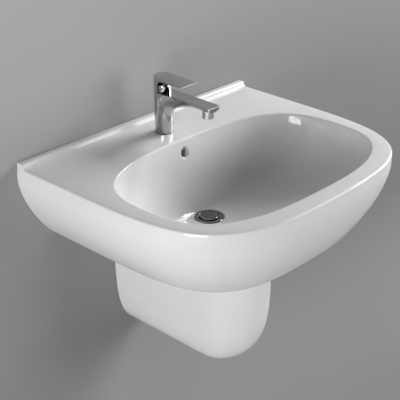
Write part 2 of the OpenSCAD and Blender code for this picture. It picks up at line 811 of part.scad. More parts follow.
module wall_rosette() color(chrome) at_outlet() to_wall() rotate_extrude() polygon([
    [pipe_r + gap, -9], [19, -9], [28.3, -6], [36, -2], [36, 0], [34.5, 0], [34.5, -1.4],
    [27.6, -4.6], [18.6, -7.6], [pipe_r + gap, -7.6]]);

// ---- Wall fixings ----

// A hanger bolt: machine thread in front of the wall, wood thread and point in the wall
module hanger_bolt(r_front, front, r_wall, wall) {
    bar(r_front, -front, 0);
    bar(r_wall, 0, wall);
    translate([0, 0, wall]) cylinder(r1 = r_wall, r2 = 1, h = bolt_point);
}

module wall_studs() color(steel) pair(stud_pitch / 2) to_wall()
    hanger_bolt(bolt_thread_r, bolt_out, bolt_r, bolt_in);

module stud_bushes() color(nylon) pair(stud_pitch / 2) to_wall() {
    tube(stud_hole_r - 0.2, bolt_thread_r + 0.2, -stud_boss_t, -bush_clear);
    tube(bush_flange_r, bolt_thread_r + 0.2, bush_z, -stud_boss_t);
}

module stud_washers() color(steel) pair(stud_pitch / 2) to_wall()
    tube(washer_r, bolt_thread_r + gap, washer_face, bush_z);

module stud_nuts() color(steel) pair(stud_pitch / 2) to_wall()
    hex_nut(bolt_nut_af, bolt_thread_r + pin_fit, washer_face - bolt_nut_h, washer_face);

module at_ped_studs() on_deck() pair(ped_stud_x) translate([0, 0, ped_stud_z]) to_wall() children();

module pedestal_studs() color(steel) at_ped_studs()
    hanger_bolt(ped_thread_r, ped_bolt_out, ped_bolt_r, ped_bolt_in);

module pedestal_washers() color(nylon) at_ped_studs()
    tube(ped_washer_r, ped_thread_r + gap, -ped_t - bolt_washer_t, -ped_t);

module pedestal_nuts() color(steel) at_ped_studs()
    hex_nut(ped_nut_af, ped_thread_r + pin_fit, -ped_t - bolt_washer_t - ped_nut_h, -ped_t - bolt_washer_t);

basin();
semi_pedestal();
tap_body();
tap_base_gasket();
cartridge_housing();
fixed_disc();
moving_disc();
cartridge_carrier();
lever_pivot_pin();
cartridge_stem();
cartridge_nut();
dome_ring();
lever_handle();
lever_set_screw();
index_plug();
aerator_housing();
aerator_insert();
aerator_seal();
tap_stud();
rubber_horseshoe();
metal_horseshoe();
tap_fixing_nut();
waste_body();
waste_top_gasket();
waste_lower_gasket();
waste_washer();
waste_backnut();
plug_cap();
plug_seal();
plug_stem();
click_housing();
click_spring();
trap_inlet_nut();
trap_inlet_seal();
trap_dip_tube();
trap_top_nut();
trap_top_seal();
trap_body();
trap_bottle();
trap_bottle_seal();
trap_outlet_nut();
trap_outlet_seal();
outlet_pipe();
wall_rosette();
wall_studs();
stud_bushes();
stud_washers();
stud_nuts();
pedestal_studs();
pedestal_washers();
pedestal_nuts();
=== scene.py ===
import json
import math
import bmesh
import bpy
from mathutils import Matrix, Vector


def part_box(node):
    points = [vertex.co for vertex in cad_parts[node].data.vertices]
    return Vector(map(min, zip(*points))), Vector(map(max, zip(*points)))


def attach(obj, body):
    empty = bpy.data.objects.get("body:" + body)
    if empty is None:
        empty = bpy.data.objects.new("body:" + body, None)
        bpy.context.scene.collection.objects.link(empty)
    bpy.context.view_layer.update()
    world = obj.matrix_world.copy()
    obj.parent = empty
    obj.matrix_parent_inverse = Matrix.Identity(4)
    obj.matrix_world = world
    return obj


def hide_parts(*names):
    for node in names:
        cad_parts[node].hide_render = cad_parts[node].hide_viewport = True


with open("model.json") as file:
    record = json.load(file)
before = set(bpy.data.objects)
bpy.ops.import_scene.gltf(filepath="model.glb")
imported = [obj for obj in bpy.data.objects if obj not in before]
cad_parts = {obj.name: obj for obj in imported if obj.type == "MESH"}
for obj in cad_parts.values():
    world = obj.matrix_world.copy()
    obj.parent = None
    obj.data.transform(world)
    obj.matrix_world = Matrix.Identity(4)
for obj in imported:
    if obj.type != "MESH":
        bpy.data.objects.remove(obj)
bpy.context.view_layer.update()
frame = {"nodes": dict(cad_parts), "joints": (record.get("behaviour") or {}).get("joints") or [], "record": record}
MM = 0.001

# ---- Places that the frame gives, in millimetres ----

mounts = {m["name"]: m for m in frame["record"]["mounts"]}
joints = {j["name"]: j for j in frame["joints"]}
waste_low, waste_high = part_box("waste_body")
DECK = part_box("tap_base_gasket")[0][2] / MM                # height of the deck
TAP_Y = joints["lever_lift"]["pos_m"][1] / MM              # tap axis
WASTE_Y = (waste_low[1] + waste_high[1]) / 2 / MM          # waste axis
STUD_X = mounts["wall_fixing"]["dims"]["spacing_x_mm"] / 2
PED_STUD_X = mounts["pedestal_fixing"]["dims"]["spacing_x_mm"] / 2
PED_STUD_Z = mounts["pedestal_fixing"]["pos_m"][2] / MM

# ---- Mesh helpers, in millimetres ----

SHARP = math.radians(35)        # edges steeper than this stay crisp


def piece(name, body, slot, replaces, verts, faces):
    """A new object in metres, on its body, standing for its CAD node."""
    mesh = bpy.data.meshes.new(name)
    mesh.from_pydata([Vector(v) * MM for v in verts], [], faces)
    obj = bpy.data.objects.new(name, mesh)
    bpy.context.scene.collection.objects.link(obj)
    tidy(obj)
    if replaces:
        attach(obj, body)
        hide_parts(replaces)
    return obj


def tidy(obj):
    """Consistent outward faces and smooth shading with crisp edges."""
    bm = bmesh.new()
    bm.from_mesh(obj.data)
    bmesh.ops.remove_doubles(bm, verts=bm.verts, dist=1e-6)
    bmesh.ops.recalc_face_normals(bm, faces=bm.faces)
    bm.to_mesh(obj.data)
    bm.free()
    obj.data.shade_smooth()
    obj.data.set_sharp_from_angle(angle=SHARP)


def angles(start, end, steps):
    """Evenly spaced angles in radians, from start to end in degrees."""
    return [math.radians(start + (end - start) * k / steps) for k in range(steps + 1)]


def circle(r, turns):
    """The (x, y) points of a circle."""
    return [(r * math.cos(a), r * math.sin(a)) for a in angles(0, 360, turns)[:-1]]


def skin(rings, looped=False):
    """Vertices and faces of a skin through rings of points; open ends are capped."""
    n = len(rings[0])
    m = len(rings)
    verts = [p for ring in rings for p in ring]
    faces = []
    for j in range(m if looped else m - 1):
        a = j * n
        b = (j + 1) % m * n
        faces += [(a + i, a + (i + 1) % n, b + (i + 1) % n, b + i) for i in range(n)]
    if not looped:
        faces += [tuple(range(n))[::-1], tuple((m - 1) * n + i for i in range(n))]
    return verts, faces


def lathe(profile, turns, centre):
    """A skin turned from (radius, height) points round a vertical axis."""
    return skin([[(centre[0] + x, centre[1] + y, z) for x, y in circle(r, turns)] for r, z in profile],
                looped=True)


def tool(verts, faces):
    """A cutter or filler that a boolean takes and deletes."""
    return piece("tool", None, None, None, verts, faces)


def baked(obj):
    """Swaps an object's mesh for the one that its modifiers make."""
    bpy.context.view_layer.update()
    graph = bpy.context.evaluated_depsgraph_get()
    mesh = bpy.data.meshes.new_from_object(obj.evaluated_get(graph))
    obj.modifiers.clear()
    old = obj.data
    obj.data = mesh
    bpy.data.meshes.remove(old)
    mesh.name = obj.name


def combine(obj, parts, operation):
    """Joins each part to obj, or cuts it away, and deletes it."""
    for part in parts:
        mod = obj.modifiers.new("combine", "BOOLEAN")
        mod.operation = operation
        mod.object = part
        mod.solver = "EXACT"
        baked(obj)
        bpy.data.objects.remove(part)
    tidy(obj)


def soften(obj, width, segments):
    """Breaks the edges of a piece with a small bevel."""
    mod = obj.modifiers.new("soften", "BEVEL")
    mod.width = width * MM
    mod.segments = segments
    mod.limit_method = "ANGLE"
    mod.angle_limit = SHARP
    baked(obj)
    tidy(obj)


def bar(r, start, end, turns=64):
    """A round bar between two points."""
    start = Vector(start)
    end = Vector(end)
    turn = (end - start).to_track_quat("Z", "Y").to_matrix()
    ring = [turn @ Vector((x, y, 0)) for x, y in circle(r, turns)]
    return tool(*skin([[p + start for p in ring], [p + end for p in ring]]))


def block(low, high):
    """A box between two corners."""
    base = [(low[0], low[1]), (high[0], low[1]), (high[0], high[1]), (low[0], high[1])]
    return tool(*skin([[(x, y, z) for x, y in base] for z in (low[2], high[2])]))


# ---- Basin, with heights measured from the deck ----

BASIN_W = 650
BASIN_D = 527
APRON_H = 168
CHINA = 12                      # wall thickness
SIDE_POW = 3.11                 # squareness of the plan at its sides
NOSE_POW = 6.03                 # and at its front
SIDE_END = 0.85                 # share of the depth where the sides give way to the front
EDGE_R = 4                      # rounding of the rim
LIP_R = 6                       # rounding of the apron's foot
FLARE = 2                       # how far the apron swells below the rim
FLARE_H = 20
TAPER_W = 70                    # how far each side draws in at the foot
TAPER_D = 60
TAPER_POW = 1.7
BOWL_DEPTH = 155
BOWL_REAR = -134
BOWL_FRONT = -488
BOWL_HALF = 281
BOWL_MID = (BOWL_REAR + BOWL_FRONT) / 2
BOWL_SLOPE = 26                 # lean of the bowl's back wall over its depth
BOWL_FOOT = 13                  # extra curve at the foot of the back wall
FLANGE_R = 32
SEAT_Z = -BOWL_DEPTH - 2.5      # seat of the waste flange
SEAT_EDGE_R = FLANGE_R + 2
BOSS_R = 40
BOSS_Z = -189
WASTE_HOLE_R = 22.75
TAP_HOLE_R = 17.5
STUD_BOSS_R = 24
STUD_BOSS_L = 30
STUD_HOLE_R = 7.5
BANK_H = 10                     # upstand along the wall
BANK_D = 21.5
DUCT_PATH = [(WASTE_Y + 20, -174), (-162, -174), (-148, -160), (-122, -24)]
OVERFLOW_R = 11
OVERFLOW_Z = -30
OVERFLOW_ROUND = 2.2


def side_u(v):
    return (1 - v ** NOSE_POW) ** (1 / SIDE_POW)


def nose_v(u):
    return (1 - abs(u) ** SIDE_POW) ** (1 / NOSE_POW)


def basin_plan(side=48, nose=110, back=80):
    """Shares of half-width and depth round the basin: right side, front, left side, straight back."""
    right = [(side_u(SIDE_END * i / side), SIDE_END * i / side) for i in range(side)]
    edge = side_u(SIDE_END)
    across = [edge * (1 - 2 * i / nose) for i in range(nose + 1)]
    front = [(u, nose_v(u)) for u in across]
    left = [(-u, v) for u, v in reversed(right)]
    rear = [(2 * i / back - 1, 0) for i in range(1, back)]
    return right + front + left + rear


PLAN = basin_plan()
SPOKES = [math.atan2(-v * BASIN_D - BOWL_MID, u * BASIN_W / 2) for u, v in PLAN]


def apron_ring(z, inset=0, back=0):
    """Outline of the apron at height z, moved in by inset."""
    taper = (max(0, -z - FLARE_H) / (APRON_H - FLARE_H - LIP_R)) ** TAPER_POW
    half = BASIN_W / 2 + FLARE * min(1, -z / FLARE_H) - TAPER_W * taper - inset
    depth = BASIN_D - TAPER_D * taper - inset
    return [(u * half, -max(back, v * depth), z + DECK) for u, v in PLAN]


def bowl_rear(s):
    return BOWL_REAR - BOWL_SLOPE * s - BOWL_FOOT * s ** 6


def bowl_ring(s, z, grow=0):
    """Bowl outline at depth share s, 0 at the deck and 1 at the waste seat."""
    rear = bowl_rear(s) + grow
    front = WASTE_Y - SEAT_EDGE_R + (BOWL_FRONT - WASTE_Y + SEAT_EDGE_R) * (1 - s * s) ** 0.73 - grow
    a = SEAT_EDGE_R + (BOWL_HALF - SEAT_EDGE_R) * (1 - s * s) ** 0.57 + grow
    b = (rear - front) / 2
    n = 2.8 - 0.8 * s           # squarer at the rim, round at the seat
    ring = []
    for q in SPOKES:
        r = ((abs(math.cos(q)) / a) ** n + (abs(math.sin(q)) / b) ** n) ** (-1 / n)
        ring.append((r * math.cos(q), (rear + front) / 2 + r * math.sin(q), z + DECK))
    return ring


def waste_ring(r, z):
    return [(r * math.cos(q), WASTE_Y + r * math.sin(q), z + DECK) for q in SPOKES]


def basin_rings(levels=56):
    """One closed loop of rings: waste hole, bowl, rim, apron, and back along the underside."""
    shares = [math.sin(math.pi / 2 * i / levels) for i in range(1, levels + 1)]
    rings = [waste_ring(WASTE_HOLE_R, BOSS_Z), waste_ring(WASTE_HOLE_R, SEAT_Z - 0.6),
             waste_ring(WASTE_HOLE_R + 0.6, SEAT_Z), waste_ring(SEAT_EDGE_R - 1.5, SEAT_Z),
             waste_ring(SEAT_EDGE_R - 0.9, SEAT_Z + 0.4)]
    rings += [bowl_ring(s, -BOWL_DEPTH * s) for s in reversed(shares)]
    rings += [bowl_ring(0, -EDGE_R * (1 - math.sin(t)), EDGE_R * (1 - math.cos(t))) for t in angles(0, 90, 6)]
    rings += [apron_ring(-EDGE_R * (1 - math.sin(t)), EDGE_R * (1 - math.cos(t))) for t in angles(90, 0, 6)]
    rings += [apron_ring(-z) for z in range(8, APRON_H - LIP_R, 7)]
    foot_z = -APRON_H + LIP_R
    rings += [apron_ring(foot_z - LIP_R * math.sin(t), LIP_R * (1 - math.cos(t)),
                         CHINA if t > math.pi / 2 else 0)
              for t in angles(0, 180, 10)]
    rings += [apron_ring(-z, CHINA, CHINA) for z in range(150, CHINA, -10)]
    rings += [apron_ring(-CHINA, CHINA, CHINA)]
    rings += [bowl_ring(s, min(-CHINA, -BOWL_DEPTH * s - CHINA * s * s), CHINA) for s in [0] + shares[1::2]]
    rings += [waste_ring(BOSS_R, -BOWL_DEPTH - CHINA), waste_ring(BOSS_R, BOSS_Z)]
    return rings


def ribbon(path, r, half_w):
    """A band of half-thickness r that follows a (y, z) path."""
    def side(sign):
        points = []
        for k, (y, z) in enumerate(path):
            ahead = path[min(k + 1, len(path) - 1)]
            behind = path[max(k - 1, 0)]
            run = math.hypot(ahead[0] - behind[0], ahead[1] - behind[1])
            normal_y = (ahead[1] - behind[1]) / run
            normal_z = -(ahead[0] - behind[0]) / run
            points.append((y + sign * r * normal_y, z + DECK + sign * r * normal_z))
        return points
    outline = side(1) + side(-1)[::-1]
    return tool(*skin([[(x, y, z) for y, z in outline] for x in (-half_w, half_w)]))


def upstand():
    """A low bank along the wall with a rounded top and a soft foot."""
    top = [(-12 - 4 * math.sin(t), BANK_H - 4 * (1 - math.cos(t))) for t in angles(0, 75, 8)]
    foot = [(-BANK_D + 4.5 * math.sin(t), 3.1 * (1 - math.cos(t))) for t in angles(75, 0, 8)]
    back = [(-0.2, -8), (-0.2, BANK_H - 1), (-0.5, BANK_H - 0.3), (-1.2, BANK_H)]
    outline = back + top + foot + [(-BANK_D, -8)]
    half = BASIN_W / 2
    ends = [(-half, 0.9), (-half + 0.4, 0.96), (-half + 1.2, 1),
            (half - 1.2, 1), (half - 0.4, 0.96), (half, 0.9)]
    mid_y = -11
    rings = []
    for x, shrink in ends:
        ring = []
        for y, z in outline:
            if z >= -1:
                y = mid_y + (y - mid_y) * (1 if y > -1 else shrink)
                z = 1 + (z - 1) * shrink
            ring.append((x, y, z + DECK))
        rings.append(ring)
    return tool(*skin(rings))


def overflow_cutter(turns=72):
    """A horizontal drill whose mouth flares in a quarter round along the sloping bowl wall."""
    wall_y = bowl_rear(-OVERFLOW_Z / BOWL_DEPTH)
    lean = BOWL_SLOPE / BOWL_DEPTH
    steps = [(0, -26)]
    steps += [(OVERFLOW_ROUND * (1 - math.sin(t)), -OVERFLOW_ROUND * (1 - math.cos(t)))
              for t in angles(90, 0, 8)]
    steps += [(OVERFLOW_ROUND, 6)]
    return tool(*skin([[(x, wall_y + lean * up - out, OVERFLOW_Z + up + DECK)
                        for x, up in circle(OVERFLOW_R + grow, turns)] for grow, out in steps]))


def notch_cutter(half=96, top=-60, r=20):
    """The opening for pipes at the foot of the back wall."""
    foot = -APRON_H - 5
    arch = [(half - r + r * math.cos(t), top - r + r * math.sin(t)) for t in angles(0, 90, 8)]
    outline = [(half, foot)] + arch + [(-x, z) for x, z in reversed(arch)] + [(-half, foot)]
    return tool(*skin([[(x, y, z + DECK) for x, z in outline] for y in (-CHINA - 2, 2)]))


def make_basin():
    basin = piece("basin_china", "fixed", "china", "basin", *skin(basin_rings(), looped=True))
    bosses = [bar(STUD_BOSS_R, (s * STUD_X, -STUD_BOSS_L, 0), (s * STUD_X, -2, 0)) for s in (1, -1)]
    combine(basin, [upstand(), ribbon(DUCT_PATH, 12, 25)] + bosses, "UNION")
    stud_holes = [bar(STUD_HOLE_R, (s * STUD_X, -STUD_BOSS_L - 1, 0), (s * STUD_X, 1, 0)) for s in (1, -1)]
    tap_hole = bar(TAP_HOLE_R, (0, TAP_Y, DECK - 30), (0, TAP_Y, DECK + 1))
    combine(basin, [ribbon(DUCT_PATH, 5, 18), overflow_cutter(), notch_cutter(), tap_hole] + stud_holes,
            "DIFFERENCE")
    return basin


# ---- Semi-pedestal, with heights measured from the deck ----

PED_W = 166
PED_D = 352
PED_DROP = 484
PED_TOP = -172
PED_WALL = 10
PED_RAMP_Y = 250                # the top edge climbs from here to the nose, under the bowl
PED_RAMP = 0.27
NOSE_SHAPE = 2.2                # squareness of the nose in plan
CURL_W = 5                      # how late the sides curl in towards the foot
CURL_D = 5.5                    # and the nose
PED_LEVELS = 60
FLANGE_X = 48                   # inner edge of the rear flanges
FLANGE_LOW = -440
FLANGE_HIGH = -200
PED_HOLE_R = 5.5


def ped_ring(z, inset, back, lift=0, rim=False):
    """Outline of the semi-pedestal at height z; the rim follows the ramp."""
    share = max(0, (PED_TOP - z) / (PED_DROP + PED_TOP))
    half = PED_W / 2 * (1 - share ** CURL_W) ** (1 / NOSE_SHAPE)
    straight = PED_D * (1 - share ** CURL_D) ** (1 / CURL_D) - half
    w = half - inset
    ring = [(w, back)]
    for a in angles(0, 180, 64):
        x = math.copysign(abs(math.cos(a)) ** (2 / NOSE_SHAPE), math.cos(a))
        y = abs(math.sin(a)) ** (2 / NOSE_SHAPE)
        ring.append((w * x, -straight - w * y))
    ring.append((-w, back))
    if rim:
        return [(x, y, DECK + lift + PED_TOP + max(0, -y - PED_RAMP_Y) * PED_RAMP) for x, y in ring]
    return [(x, y, DECK + lift + z) for x, y in ring]


def ped_form(inset, back, lift):
    heights = [PED_TOP - (PED_DROP + PED_TOP) * 0.992 * math.sin(math.pi / 2 * i / PED_LEVELS)
               for i in range(1, PED_LEVELS + 1)]
    rings = [ped_ring(PED_TOP, inset, back, lift, rim=True)]
    rings += [ped_ring(z, inset, back, lift) for z in heights]
    return skin(rings)


def make_pedestal():
    ped = piece("pedestal_china", "fixed", "china", "semi_pedestal", *ped_form(0, 0, 0))
    combine(ped, [tool(*ped_form(PED_WALL, 1, PED_WALL + 2))], "DIFFERENCE")
    for s in (1, -1):
        inner, outer = sorted((s * FLANGE_X, s * (PED_W / 2 - 4)))
        flange = block((inner, -PED_WALL, DECK + FLANGE_LOW), (outer, -0.05, DECK + FLANGE_HIGH))
        combine(flange, [tool(*ped_form(PED_WALL / 2, 0, 0))], "INTERSECT")
        combine(ped, [flange], "UNION")
    holes = [bar(PED_HOLE_R, (s * PED_STUD_X, -PED_WALL - 2, PED_STUD_Z), (s * PED_STUD_X, 1, PED_STUD_Z))
             for s in (1, -1)]
    combine(ped, holes, "DIFFERENCE")
    return ped


# ---- Tap, measured from the deck and the tap axis ----

BODY_R = 20.5                   # column at its top
BASE_R = 19                     # and at its foot
BODY_LOW = 1.5
BODY_TOP = 91
SPIGOT_R = 15.5
CHAMBER_R = 15                  # bore for the cartridge
CHAMBER_Z = 55
SPOUT_TIP = -143
CREASE_X = 16                   # half-width of the spout at its creases
TIP_R = 3
TOP_R = 0.8
SPOUT_STEPS = 72
BELLY = [(-143, 80), (-75, 74.5), (-24, 72), (-18.6, 34)]
CREASE = [(-143, 84), (-50, 87), (-12, 100), (-10.8, 34)]
AERATOR_Y = SPOUT_TIP + 18
AERATOR_BOSS_R = 12
AERATOR_BORE_R = 10.9
FIX_Y = -11                     # fixing stud
FIX_R = 3.95
INLET_X = 7.5
INLET_Y = 6
INLET_R = 5.4
HOOD_LOW = 92
HOOD_TOP = 124
HOOD_CEILING = 116.5
HOOD_BORE_R = 17.5
BLADE_TIP = -75
BLADE_HALF_W = 20
BLADE_CORNER = 2.5
BLADE_LOW = 118.55              # underside and top of the blade at its tip
BLADE_HIGH = 120.95
STEM_HALF_W = 4                 # square hole for the cartridge's stem
DOME_R = 15.6
DOME_Z = 103


def cubic(p, t):
    """A point of the cubic curve through four (y, z) points."""
    w = ((1 - t) ** 3, 3 * t * (1 - t) ** 2, 3 * t * t * (1 - t), t ** 3)
    return tuple(sum(k * q[axis] for k, q in zip(w, p)) for axis in (0, 1))


def on_tap(points):
    return [(x, y + TAP_Y, z + DECK) for x, y, z in points]


def tap_bar(r, y, low, high, x=0, turns=64):
    """An upright bar in the tap's own measures."""
    return bar(r, *on_tap([(x, y, low), (x, y, high)]), turns=turns)


def spout_ring(t, shrink=0.0, ahead=0.0):
    """Section of the spout: a round belly, two creases, flat sides and a flat top."""
    belly_y, belly_z = cubic(BELLY, t)
    crease_y, crease_z = cubic(CREASE, t)
    crease_z += shrink * 0.2
    low_z = belly_z + shrink * 0.4
    lean = CREASE_X / BODY_R
    half = CREASE_X - shrink
    ring = []
    for k in range(-12, 13):
        u = k / 12
        f = (1 - math.sqrt(1 - (lean * u) ** 2)) / (1 - math.sqrt(1 - lean ** 2))
        rise = crease_z - belly_z - shrink * 0.4
        ring.append((half * u, belly_y + (crease_y - belly_y) * f, low_z + rise * f))
    top_y = crease_y * (1 - t ** 3)
    top_half = CREASE_X + (BODY_R - 0.1 - CREASE_X) * (top_y - SPOUT_TIP) / -SPOUT_TIP - shrink
    top_z = BODY_TOP - shrink * 0.25
    side = []
    for k in range(1, 5):
        f = k / 5
        side.append((half + (top_half - half) * f, crease_y + (top_y - crease_y) * f,
                     crease_z + (top_z - TOP_R - crease_z) * f))
    for a in angles(0, 90, 3):
        side.append((top_half - TOP_R * (1 - math.cos(a)), top_y, top_z - TOP_R * (1 - math.sin(a))))
    across = [((top_half - TOP_R) * (1 - k / 6), top_y, top_z) for k in range(1, 12)]
    ring += side + across + [(-x, y, z) for x, y, z in reversed(side)]
    return on_tap([(x, y + ahead, z) for x, y, z in ring])


def make_tap_body():
    """A tapered column with the lofted spout, bored for the cartridge, aerator, stud and hoses."""
    profile = [(BASE_R - 0.5, BODY_LOW), (BASE_R - 0.15, BODY_LOW + 0.15), (BASE_R, BODY_LOW + 0.5),
               (BODY_R - 0.01, BODY_TOP - 0.6), (BODY_R - 0.16, BODY_TOP - 0.16), (BODY_R - 0.6, BODY_TOP)]
    rings = [on_tap([(x, y, z) for x, y in circle(r, 144)]) for r, z in profile]
    body = piece("tap_casting", "fixed", "chrome", "tap_body", *skin(rings))
    spout = [spout_ring(0, TIP_R * (1 - math.cos(a)), TIP_R * (1 - math.sin(a))) for a in angles(90, 0, 8)]
    spout += [spout_ring(k / SPOUT_STEPS) for k in range(1, SPOUT_STEPS + 1)]
    spigot = tap_bar(SPIGOT_R, 0, -6, BODY_LOW + 1)
    boss = tap_bar(AERATOR_BOSS_R, AERATOR_Y, 76.5, 86, turns=96)
    combine(body, [tool(*skin(spout)), spigot, boss], "UNION")
    bores = [tap_bar(CHAMBER_R, 0, CHAMBER_Z, BODY_TOP + 1), tap_bar(AERATOR_BORE_R, AERATOR_Y, 70, 84.3),
             tap_bar(FIX_R, FIX_Y, -8, 14, turns=32)]
    bores += [tap_bar(INLET_R, INLET_Y, -8, 26, x=s * INLET_X, turns=32) for s in (1, -1)]
    combine(body, bores, "DIFFERENCE")
    return body


def lever_plan():
    """Outline from above: half a disc over the column and the blade's two rounded corners."""
    disc = [(BODY_R * math.cos(a), BODY_R * math.sin(a)) for a in angles(0, 180, 60)]
    left = [(-BLADE_HALF_W, -18)]
    left += [(-BLADE_HALF_W + BLADE_CORNER * (1 - math.cos(a)), BLADE_TIP + BLADE_CORNER * (1 - math.sin(a)))
             for a in angles(0, 90, 6)]
    return disc + left + [(-x, y) for x, y in reversed(left)]


def lever_side():
    """Outline from the side: the hood's slanting foot, its arch, and the thin blade."""
    arch = [(-3 - 6 * (1 - math.cos(a)), HOOD_CEILING - 6 * (1 - math.sin(a))) for a in angles(0, 90, 9)]
    foot = [(25, HOOD_LOW + 25 * 7.2 / 21.5), (0, HOOD_LOW), (-3, HOOD_LOW)]
    blade = [(BLADE_TIP - 1, BLADE_LOW), (BLADE_TIP - 1, BLADE_HIGH), (0, HOOD_TOP), (25, HOOD_TOP)]
    return foot + arch + blade


def make_lever():
    """Hood over the cartridge with its thin blade, edges softly broken."""
    prism = [on_tap([(x, y, z) for x, y in lever_plan()]) for z in (HOOD_LOW - 1, HOOD_TOP + 2)]
    lever = piece("lever_casting", "lever", "chrome", "lever_handle", *skin(prism))
    profile = [on_tap([(x, y, z) for y, z in lever_side()]) for x in (-25, 25)]
    combine(lever, [tool(*skin(profile))], "INTERSECT")
    combine(lever, [tap_bar(HOOD_BORE_R, 0, 90, HOOD_CEILING, turns=96)], "DIFFERENCE")
    combine(lever, [tap_bar(7.5, 0, 107.5, HOOD_CEILING + 1, turns=48)], "UNION")
    square = [(-STEM_HALF_W, -STEM_HALF_W), (STEM_HALF_W, -STEM_HALF_W),
              (STEM_HALF_W, STEM_HALF_W), (-STEM_HALF_W, STEM_HALF_W)]
    stem_hole = tool(*skin([on_tap([(x, y, z) for x, y in square]) for z in (106, 115)]))
    screw_hole = bar(3, *on_tap([(0, 16.5, 112), (0, 22, 112)]), turns=32)
    combine(lever, [stem_hole, screw_hole], "DIFFERENCE")
    soften(lever, 0.5, 3)
    return lever


def make_dome():
    """The thin domed ring under the hood."""
    outer = [(11.5 + 4.1 * math.cos(a), DOME_Z + 5 * math.sin(a)) for a in angles(0, 90, 15)]
    inner = [(11.5 + 2.5 * math.cos(a), DOME_Z + 3.4 * math.sin(a)) for a in angles(90, 0, 15)]
    outline = [(DOME_R, BODY_TOP)] + outer + inner + [(14, BODY_TOP)]
    return piece("cartridge_dome", "fixed", "chrome", "dome_ring",
                 *lathe([(r, z + DECK) for r, z in outline], 96, (0, TAP_Y)))


# ---- Turned trim: outlines as (radius, height above the deck) ----

AERATOR_OUTLINE = [(8.6, 65), (12, 65), (12, 68.2), (11.8, 68.5), (12, 68.8), (12, 76.5),
                   (10.8, 76.5), (10.8, 84), (9.4, 84), (9.4, 66.2), (8.6, 66.2)]
WASTE_OUTLINE = [(20, -157.5), (22, -154.6), (27, -154.5), (30.5, -155.3), (32, -157), (22.4, -157),
                 (22.4, -186), (20.9, -186), (20.9, -240), (17.5, -240), (17.5, -186), (20, -184)]
PLUG_OUTLINE = [(0.01, -152.2), (15.5, -152.2), (17.6, -151.6), (19.2, -152.3), (19.5, -153.6),
                (19.5, -155.8), (3.05, -155.8), (3.05, -153.8), (0.01, -153.8)]


def round_off(points, r, steps=5):
    """A closed (radius, height) outline with each corner rounded to r."""
    out = []
    for k, corner in enumerate(points):
        here = Vector(corner)
        before = Vector(points[k - 1]) - here
        after = Vector(points[(k + 1) % len(points)]) - here
        back = min(r, before.length * 0.45, after.length * 0.45)
        a = here + before.normalized() * back
        b = here + after.normalized() * back
        for i in range(steps + 1):
            t = i / steps
            out.append(tuple((1 - t) ** 2 * a + 2 * t * (1 - t) * here + t * t * b))
    return out


def turn_piece(name, body, node, outline, r, y):
    """A chrome lathe piece with rounded corners, round a vertical axis at y."""
    profile = [(radius, z + DECK) for radius, z in round_off(outline, r)]
    return piece(name, body, "chrome", node, *lathe(profile, 96, (0, y)))


# ---- Materials ----

def material(name, base, rough, metal=0.0):
    """A principled material; returns it with its node tree and shader."""
    mat = bpy.data.materials.new(name)
    mat.use_nodes = True
    shader = mat.node_tree.nodes["Principled BSDF"]
    shader.inputs["Base Color"].default_value = (*base, 1)
    shader.inputs["Roughness"].default_value = rough
    shader.inputs["Metallic"].default_value = metal
    return mat, mat.node_tree, shader


def noise(tree, scale, detail, stretch=(1, 1, 1)):
    """Noise in the object's own space, stretched along an axis where wanted."""
    place = tree.nodes.new("ShaderNodeTexCoord")
    fit = tree.nodes.new("ShaderNodeMapping")
    fit.inputs["Scale"].default_value = stretch
    tree.links.new(place.outputs["Object"], fit.inputs["Vector"])
    field = tree.nodes.new("ShaderNodeTexNoise")
    field.inputs["Scale"].default_value = scale
    field.inputs["Detail"].default_value = detail
    tree.links.new(fit.outputs["Vector"], field.inputs["Vector"])
    return field.outputs["Fac"]


def spread(tree, field, low, high, socket):
    """Maps a field onto a range of values or colours and feeds a socket."""
    ramp = tree.nodes.new("ShaderNodeValToRGB")
    ramp.color_ramp.elements[0].position = 0.3
    ramp.color_ramp.elements[1].position = 0.7
    as_colour = [c if isinstance(c, tuple) else (c, c, c) for c in (low, high)]
    for element, colour in zip(ramp.color_ramp.elements, as_colour):
        element.color = (*colour, 1)
    tree.links.new(field, ramp.inputs["Fac"])
    tree.links.new(ramp.outputs["Color"], socket)


def bump(tree, shader, field, strength, distance):
    node = tree.nodes.new("ShaderNodeBump")
    node.inputs["Strength"].default_value = strength
    node.inputs["Distance"].default_value = distance
    tree.links.new(field, node.inputs["Height"])
    tree.links.new(node.outputs["Normal"], shader.inputs["Normal"])


def glaze():
    """Vitreous china: a white body under a very slightly uneven glaze."""
    mat, tree, shader = material("glazed_china", (0.82, 0.82, 0.81), 0.09)
    shader.inputs["IOR"].default_value = 1.52
    spread(tree, noise(tree, 9, 3), (0.80, 0.80, 0.79), (0.83, 0.83, 0.82), shader.inputs["Base Color"])
    spread(tree, noise(tree, 60, 4), 0.05, 0.10, shader.inputs["Roughness"])
    bump(tree, shader, noise(tree, 14, 2), 0.25, 0.0004)
    return mat


def metal(name, dark, light, smooth, dull, grain=30, stretch=(1, 1, 1)):
    """Metal whose colour and polish vary with a fine grain."""
    mat, tree, shader = material(name, light, smooth, metal=1.0)
    spread(tree, noise(tree, grain, 5, stretch), dark, light, shader.inputs["Base Color"])
    spread(tree, noise(tree, grain * 3, 5, stretch), smooth, dull, shader.inputs["Roughness"])
    bump(tree, shader, noise(tree, grain * 6, 3, stretch), 0.3, 0.00002)
    return mat


def plastic(name, dark, light, smooth, dull, grain=120):
    """Moulded plastic, rubber or ceramic with a fine skin."""
    mat, tree, shader = material(name, light, smooth)
    spread(tree, noise(tree, 25, 3), dark, light, shader.inputs["Base Color"])
    spread(tree, noise(tree, grain, 4), smooth, dull, shader.inputs["Roughness"])
    bump(tree, shader, noise(tree, grain * 8, 3), 0.25, 0.00003)
    return mat


